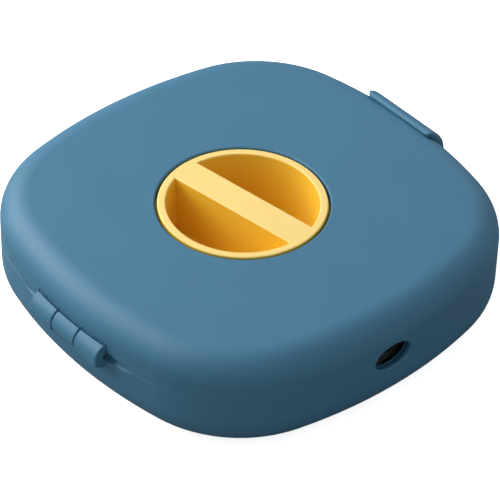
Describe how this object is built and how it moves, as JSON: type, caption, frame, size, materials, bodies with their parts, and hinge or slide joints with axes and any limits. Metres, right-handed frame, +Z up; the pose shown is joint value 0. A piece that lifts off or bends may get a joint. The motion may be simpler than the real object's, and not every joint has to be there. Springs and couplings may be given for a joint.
{
  "type": "cable winder case",
  "caption": "Flat rounded-square case with hinged lid, clasp and flush cup knob that turns a cable wheel inside; oval cable holes in its sides.",
  "frame": {"origin": "middle of the case's bottom face, on the surface it stands on", "axes": "+Z up through the lid, +Y towards the hinge, -Y towards the clasp, X through the two cable holes"},
  "size_m": [0.1, 0.106, 0.025],
  "materials": {
    "case_plastic": "fine satin moulded slate blue",
    "knob_plastic": "satin moulded warm yellow",
    "reel_plastic": "satin moulded off-white",
    "steel": "drawn and zinc plated steel"
  },
  "bodies": {
    "base": {"base_shell": "case_plastic", "hinge_pin": "steel", "latch_pin": "steel", "spool_washer": "steel", "spool_screw": "steel"},
    "lid": {"lid_shell": "case_plastic", "knob_retainer": "reel_plastic", "retainer_screws": "steel"},
    "clasp": {"latch_clasp": "case_plastic"},
    "knob": {"knob_cup": "knob_plastic"},
    "wheel": {"reel_spool": "reel_plastic"}
  },
  "joints": [
    {"name": "lid_hinge", "type": "hinge", "parent": "base", "child": "lid", "pos_m": [0, 0.0492, 0.0139], "axis": [-1, 0, 0], "range_deg": [0, 100]},
    {"name": "clasp_pivot", "type": "hinge", "parent": "base", "child": "clasp", "pos_m": [0, -0.05195, 0.0069], "axis": [1, 0, 0], "range_deg": [0, 105]},
    {"name": "knob_turn", "type": "hinge", "parent": "lid", "child": "knob", "pos_m": [0, 0.002, 0.0244], "axis": [0, 0, 1], "continuous": true},
    {"name": "wheel_turn", "type": "hinge", "parent": "base", "child": "wheel", "pos_m": [0, 0.002, 0.0044], "axis": [0, 0, 1], "continuous": true}
  ],
  "couplings": [
    {"joint": "knob_turn", "follows": "wheel_turn", "ratio": 1}
  ]
}
